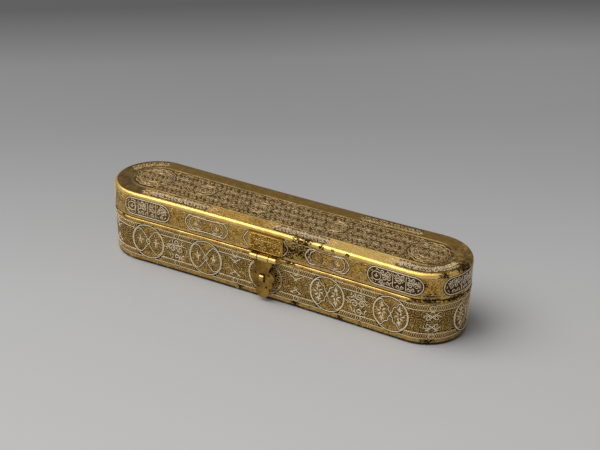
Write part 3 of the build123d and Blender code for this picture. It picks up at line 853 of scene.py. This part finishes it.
def case_silver():
    """The inner lines, roundels, brackets and knots of the case, with their grooves."""
    grooves = Relief(on_case)
    relief = Relief(on_case, grooves)
    steps = 1260
    for height in (inner_low_line, inner_high_line):
        whole = [(lap(i, steps), height) for i in range(steps + 1)]
        for run in runs(whole, outside_roundels):
            relief.ribbon(run, inner_width)
    for place in roundel_places:
        roundel(relief, place, place > rich_roundels_from)
    for place in bracket_places:
        if all(abs(around(place - p)) > 5 for p in knot_places):
            bracket(relief, place, place > rich_brackets_from or place < back_from)
    for place in knot_places:
        case_knot(relief, place)
    relief.piece("case_silver_inlay", wall_silver, "case")
    grooves.piece("case_silver_grooves", groove_fill, "case", False)


def beside_roundels(edge, limit):
    """A border band's inner edge, which gives way to the roundels as far as the limit."""
    def at(along):
        off = min(abs(around(along - p)) for p in roundel_places)
        reach = math.sqrt(max(0.0, (roundel_radius + 0.4) ** 2 - off**2))
        away = min(abs(limit - roundel_height), max(abs(edge - roundel_height), reach))
        return roundel_height + math.copysign(away, edge - roundel_height)
    return at


def case_borders():
    """Dark ground and a net of fine lines in the two border bands, outside the roundels."""
    ground = Relief(on_case)
    net = Relief(on_case)
    low_band = (foot_line + 0.3, inner_low_line - 0.2)
    high_band = (inner_high_line + 0.2, rim_line - 0.3)
    low_edges = (low_band[0], beside_roundels(low_band[1], low_band[0] + 0.05))
    high_edges = (beside_roundels(high_band[0], high_band[1] - 0.05), high_band[1])
    for edges in (low_edges, high_edges):
        ground.strip(-perimeter / 2, perimeter / 2, *edges, border_rise, step=0.8)
    waves = 200
    swings = (1, 0, -1, 0)
    count = waves * len(swings)
    for lower, upper in (low_band, high_band):
        reach = (upper - lower) / 2 - 0.1
        for phase in (0, 2):
            line = []
            for i in range(count):
                swing = swings[(i + phase) % len(swings)]
                line.append((lap(i, count), (lower + upper) / 2 + reach * swing))
            for run in runs(line, outside_roundels):
                net.ribbon(run, net_width, net_rise)
    ground.piece("case_border_ground", border_fill, "case", False)
    net.piece("case_border_net", net_brass, "case")


def case_engraving():
    """Vine scrolls between and in the roundels."""
    cuts = Relief(on_case)
    relief = Relief(on_case, cuts)

    def in_band(along, z):
        return inner_low_line + 0.4 < z < inner_high_line - 0.4

    relief.vine(inner_low_line, inner_high_line, -perimeter / 2, perimeter / 2, rows=3, radius=2.95,
                width=0.6, rise=0.15, inside=in_band, leaves=3, loose=0.3)
    relief.piece("case_scrolls", relief_brass, "case")
    cuts.piece("case_scroll_cuts", cut_fill, "case", False)


def end_profile(start, end, reach, half):
    """Half height of a cartouche with round ends, as a function of the place along it."""
    def at(along):
        t = min(1.0, max(0.0, min(along - start, end - along)) / reach)
        return half * math.sqrt(max(0.0, 1 - (1 - t) ** 2))
    return at


def cartouche_outline(start, end, reach, half, centre):
    """The closed line round a cartouche with round ends."""
    profile = end_profile(start, end, reach, half)
    end_steps = 14
    long_steps = 40
    share = [(1 - math.cos(math.pi / 2 * i / end_steps)) * reach for i in range(end_steps + 1)]
    inner = [start + reach + (end - start - 2 * reach) * i / long_steps for i in range(1, long_steps)]
    places = [start + s for s in share] + inner + [end - s for s in reversed(share)]
    upper = [(p, centre + profile(p)) for p in places]
    return upper + [(p, 2 * centre - q) for p, q in reversed(upper[1:-1])]


def vine_cartouche(wires, knots, ground, start, end, lower, upper, boss=0, bars=(), width=0.56):
    """Silver scrolls on a dark ground with round ends, in a frame where wires are given.

    Boss is the end that has a ringed flower, -1 or 1, and bars are shares of the length.
    """
    centre = (lower + upper) / 2
    half = (upper - lower) / 2
    reach = min(half, (end - start) / 3)
    profile = end_profile(start, end, reach, half)
    bare_end = 0.3 if wires else 3.0
    ground.strip(start + bare_end, end - bare_end, lambda a: centre - profile(a),
                 lambda a: centre + profile(a), step=0.9)
    if wires:
        wires.ribbon(cartouche_outline(start, end, reach, half, centre), closed=True)
    inner = end_profile(start + 1.2, end - 1.2, reach - 0.6, half - 1.1)
    boss_place = (start + half if boss < 0 else end - half) if boss else None
    bar_places = [start + (end - start) * share for share in bars]

    def in_frame(along, z):
        if boss and math.hypot(along - boss_place, z - centre) < half * 0.62:
            return False
        return abs(z - centre) < inner(along) and all(abs(along - p) > 0.8 for p in bar_places)

    rows = 3
    knots.vine(centre - half + 0.6, centre + half - 0.6, start + 1, end - 1, rows,
               radius=half / rows * 0.98, width=width, rise=0.26, inside=in_frame, leaves=4, loose=0.4)
    for p in bar_places:
        tall = inner(p)
        knots.ribbon(straight((p, centre - tall), (p, centre + tall)), 0.7, 0.3, tips=0.6)
    if boss:
        knots.ribbon(ring_line(boss_place, centre, half * 0.5), 0.6, closed=True)
        knots.flower(boss_place, centre - 0.2, size=half * 0.36, angle=90, fat=1.3)


def medallion_cartouche(wires, start, end, lower, upper):
    """A pointed frame that holds two round medallions."""
    centre = (lower + upper) / 2
    nose = 5.0
    half_frame = [(start, centre), (start + nose * 0.45, upper - 1.6), (start + nose, upper),
                  ((start + end) / 2, upper - 0.7), (end - nose, upper), (end - nose * 0.45, upper - 1.6),
                  (end, centre)]
    outline = half_frame + [(p, 2 * centre - q) for p, q in reversed(half_frame[1:-1])]
    wires.ribbon(smooth(outline, closed=True), closed=True)
    for hand in (-1, 1):
        x = (start + end) / 2 + hand * (end - start) * 0.24
        wires.ribbon(arc(x, centre, 5.4, 90 - hand * 180, 90 + hand * 30), inner_width, tips=0.4)
        wires.ribbon(arc(x - hand * 0.6, centre, 3.6, 90 + hand * 10, 90 + hand * 200), 0.6, tips=0.4)
        wires.flower(x, centre - 0.6, size=2.6, angle=90, fat=1.2)
        wires.leaf(x - hand * 4, lower + 1.4, 90 - hand * 90, size=4.4, breadth=1.5)


# Cartouches of the lid's wall: start, end, the end with the boss, and the bars' shares of the length
wall_cartouches = [
    (-118, -79.5, -1, (0.24, 0.31, 0.52, 0.7)),
    (80, 121, -1, (0.46, 0.7)),
    (135, 2 * apex - 135, 1, (0.3, 0.62)),
    (2 * apex - 121, 2 * apex - 80, 1, (0.3, 0.54)),
    (2 * apex + 79.5, 2 * apex + 118, 1, (0.3, 0.5, 0.7)),
    (2 * apex + 135, 4 * apex - 135, 1, (0.4, 0.66)),
]

# Start and end of the frames with medallions. The last two lie behind the hasp plate and opposite it.
wall_medallions = [
    (-66, -30.5), (32, 66), (2 * apex - 62, 2 * apex - 28), (2 * apex + 28, 2 * apex + 62),
    (-17.5, 18), (2 * apex - 17.5, 2 * apex + 18),
]


def lid_ornament():
    """The ornament of the lid's wall."""
    grooves = Relief(on_lid)
    wires = Relief(on_lid, grooves)
    knots = Relief(on_lid)
    ground = Relief(on_lid)
    lower = lid_low_line + 0.9
    upper = lid_high_line + 0.3
    for start, end, boss, bars in wall_cartouches:
        vine_cartouche(wires, knots, ground, start, end, lower, upper, boss, bars)
    for start, end in wall_medallions:
        medallion_cartouche(wires, start, end, lower + 0.3, upper - 1.2)
    wires.piece("lid_silver_inlay", wall_silver, "lid")
    knots.piece("lid_silver_knots", wall_silver, "lid")
    # Painted shadow: a thin dark strip along the hasp plate's right edge, where the plate casts its shadow
    # on the wall
    grooves.strip(plate_right + 0.1, plate_right + 0.8, lid_low_line, plate_top + 0.6, groove_rise)
    grooves.piece("lid_grooves_and_plate_shadow", groove_fill, "lid", False)
    ground.piece("lid_black_fill", wall_fill, "lid", False)
    taken = [(start % perimeter, end % perimeter) for start, end, boss, bars in wall_cartouches]

    def clear(along, z):
        spot = along % perimeter
        return lower + 0.3 < z < upper - 0.3 and not any(
            (a - 0.8 < spot < b + 0.8) if a < b else (spot > a - 0.8 or spot < b + 0.8) for a, b in taken
        )

    vines = Relief(on_lid)
    vines.vine(lower, upper, 0, perimeter, rows=2, radius=3.0, width=0.4, rise=0.09, inside=clear,
               leaves=2, loose=0.2)
    vines.piece("lid_scrolls", relief_brass, "lid")


# Middles and radii of the medallions in the top's field
field_medallions = [(-111, 0, 14.6), (-68, 1, 8.4), (-20, -2, 8.4), (40, 1, 8.4), (111, 0, 14.6)]


def field_edge(x):
    """Half width of the top's inner field, with round ends."""
    over = max(0.0, abs(x) - (field_end - field_half))
    return math.sqrt(max(0.0, field_half**2 - over**2))


def top_field():
    """Medallions and dense fine scrolls on a dark ground."""
    ground = Relief(on_top)
    ground.strip(-field_end, field_end, lambda x: -field_edge(x), field_edge, step=1.2)
    ground.piece("top_field_ground", field_fill, "lid", False)
    wires = Relief(on_top)

    def in_field(x, y):
        return abs(x) < field_end and abs(y) < field_edge(x) - 0.7 and all(
            abs(math.hypot(x - a, y - b) - r) > 0.8 for a, b, r in field_medallions
        )

    wires.vine(-field_half + 0.3, field_half - 0.3, -field_end, field_end, rows=8, radius=1.95, width=0.46,
               rise=0.18, inside=in_field, leaves=3, loose=0.5)
    for x, y, radius in field_medallions:
        lobes = 12 if radius > 10 else 8
        wires.ribbon(lobed_ring(x, y, radius, lobes, depth=1.1), 0.7, closed=True)
        for share in (0.8, 0.5):
            wires.ribbon(ring_line(x, y, radius * share), 0.55, closed=True)
    wires.piece("top_field_silver", top_silver, "lid")


def top_bands():
    """Cartouches round the edge of the top, and rosettes between those of the front."""
    band = Relief(on_top_band)
    dull = Relief(on_top_band)
    dark = Relief(on_top_band)
    for start, end in ((-101, -48), (1, 48), (95, apex - 3)):
        vine_cartouche(None, band, dark, start, end, band_outer, band_inner, width=0.46)
    for start, end in ((2 * apex - 98, 2 * apex - 46), (-apex - 46, -apex - 2)):
        vine_cartouche(None, dull, dark, start, end, band_outer, band_inner, width=0.4)
    dull.piece("top_back_band_silver", top_silver, "lid")
    inset = (band_outer + band_inner) / 2
    radius = 1.9
    for place in (-103, -46.5, -1, 50, 93):
        band.ribbon(ring_line(place, inset, radius), 0.45, closed=True)
        band.rosette(place, inset, radius, size=2.0, breadth=1.0, lean=20)
    band.piece("top_band_silver", band_silver, "lid")
    dark.piece("top_band_fill", top_fill, "lid", False)


def top_frame():
    """Two fine brass lines inside the bands."""
    lines = Relief(on_top_band)
    steps = 900
    for inset in (band_inner + 0.3, band_inner + 1.1):
        lines.ribbon([(lap(i, steps), inset) for i in range(steps)], 0.4, 0.1, closed=True)
    lines.piece("top_frame_lines", frame_brass, "lid")


def plate_ornament():
    """Scrolls on a sunk ground in a thin frame on the hasp plate."""
    left = plate_left + plate_margin
    right = plate_right - plate_margin
    bottom = plate_ground_bottom
    top = plate_top - 1.5
    ground = Relief(on_plate)
    ground.strip(left, right, bottom, top, step=2.0)
    ground.piece("hasp_plate_ground", plate_fill, "lid", False)
    vines = Relief(on_plate)

    def in_plate(x, z):
        return left + 0.3 < x < right - 0.3 and bottom + 0.3 < z < top - 0.3

    vines.vine(bottom, top, left, right, rows=3, radius=2.5, width=0.8, rise=0.24, inside=in_plate,
               leaves=4, loose=0.4)
    corners = [(left, bottom), (right, bottom), (right, top), (left, top)]
    for a, b in zip(corners, [*corners[1:], corners[0]]):
        vines.ribbon(straight(a, b), 0.5, 0.2)
    vines.piece("hasp_plate_scrolls", plate_relief, "lid")


case_silver()
case_borders()
case_engraving()
lid_ornament()
top_field()
top_bands()
top_frame()
plate_ornament()

# View of the photograph: turn, height and roll in degrees, the rest in millimetres and pixels
camera_azimuth = 28.44
camera_elevation = 27.73
camera_roll = 1.42
camera_distance = 1034.58
camera_aside = 10.92
camera_above = 40.69
focal_pixels = 1425.07
image_pixels = 600

# Greys of the floor in sRGB bytes by the distance behind the box in metres, darkening with distance as
# painted shade. The direction of that distance turns by some degrees from the camera's.
floor_turn = 9.0
floor_tones = ((-0.2, 190), (0.0, 179), (0.13, 165), (0.29, 146), (0.44, 137), (0.61, 97))
floor_radius = 3.0


def floor():
    """A plain pale floor with painted shade that darkens it away from the camera's side, and a painted
    patch of light far off to one side.
    """
    shader = Shader("floor_paper", 0.0, 0.9)
    shader.surface.inputs["Specular IOR Level"].default_value = 0.1

    def along_floor(angle):
        """The distance along the floor in a direction, turned from straight behind the box."""
        x = shader.both(shader.axis("X"), -math.sin(math.radians(camera_azimuth + angle)))
        y = shader.both(shader.axis("Y"), math.cos(math.radians(camera_azimuth + angle)))
        return shader.math("ADD", x, y)

    start, nearest = floor_tones[0]
    end, farthest = floor_tones[-1]
    made = shader.node("ShaderNodeMapRange", Value=along_floor(floor_turn), From_Min=start, From_Max=end)
    ramp = shader.node("ShaderNodeValToRGB", Fac=made.outputs["Result"])
    stops = ramp.color_ramp.elements
    for place, level in floor_tones[1:-1]:
        stops.new((place - start) / (end - start)).color = tone(level, level, level)
    stops[0].color = tone(nearest, nearest - 2, nearest - 3)
    stops[-1].color = tone(farthest, farthest, farthest)
    # Painted light: a patch far behind the box, to one side, is made paler
    behind = along_floor(0)
    far = shader.both(shader.span(behind, 0.15, 0.42), shader.span(behind, 0.66, 0.46))
    painted_light_patch = shader.both(shader.both(far, shader.span(along_floor(-90), -0.1, 0.3)), 0.15)
    shader.colour(shader.mix(painted_light_patch, ramp.outputs["Color"], tone(190, 190, 190)))
    corners = 24
    angles = [2 * math.pi * i / corners for i in range(corners)]
    mesh = bpy.data.meshes.new("floor")
    mesh.from_pydata([(floor_radius * math.cos(a), floor_radius * math.sin(a), 0.0) for a in angles], [],
                     [tuple(range(corners))])
    mesh.materials.append(shader.material)
    item = add("floor", mesh)


def soft_light(name, direction, distance, size, power):
    data = bpy.data.lights.new(name, "AREA")
    data.shape = "SQUARE"
    data.size = size
    data.energy = power
    item = add(name, data)
    item.location = Vector(direction).normalized() * distance
    item.rotation_mode = "QUATERNION"
    item.rotation_quaternion = Vector(direction).to_track_quat("Z", "Y")


def world_light(level):
    world = bpy.data.worlds.new("studio")
    world.use_nodes = True
    world.node_tree.nodes["Background"].inputs["Color"].default_value = (level, level, level, 1)
    bpy.context.scene.world = world


def photo_camera():
    az, el, roll = (math.radians(v) for v in (camera_azimuth, camera_elevation, camera_roll))
    back = Vector((math.sin(az) * math.cos(el), -math.cos(az) * math.cos(el), math.sin(el)))
    level = Vector((math.cos(az), math.sin(az), 0))
    upright = back.cross(level)
    right = level * math.cos(roll) + upright * math.sin(roll)
    up = upright * math.cos(roll) - level * math.sin(roll)
    data = bpy.data.cameras.new("photo_camera")
    data.sensor_width = 36
    data.lens = focal_pixels / image_pixels * data.sensor_width
    data.clip_start = 0.05
    item = add("photo_camera", data)
    turned = Matrix((right, up, back)).transposed().to_4x4()
    turned.translation = (back * camera_distance + right * camera_aside + up * camera_above) * mm
    item.matrix_world = turned
    bpy.context.scene.camera = item


floor()
soft_light("key", direction=(-0.36, -0.3, 0.88), distance=2.2, size=2.0, power=48)
world_light(0.27)
photo_camera()
bpy.context.scene.view_settings.view_transform = "Standard"
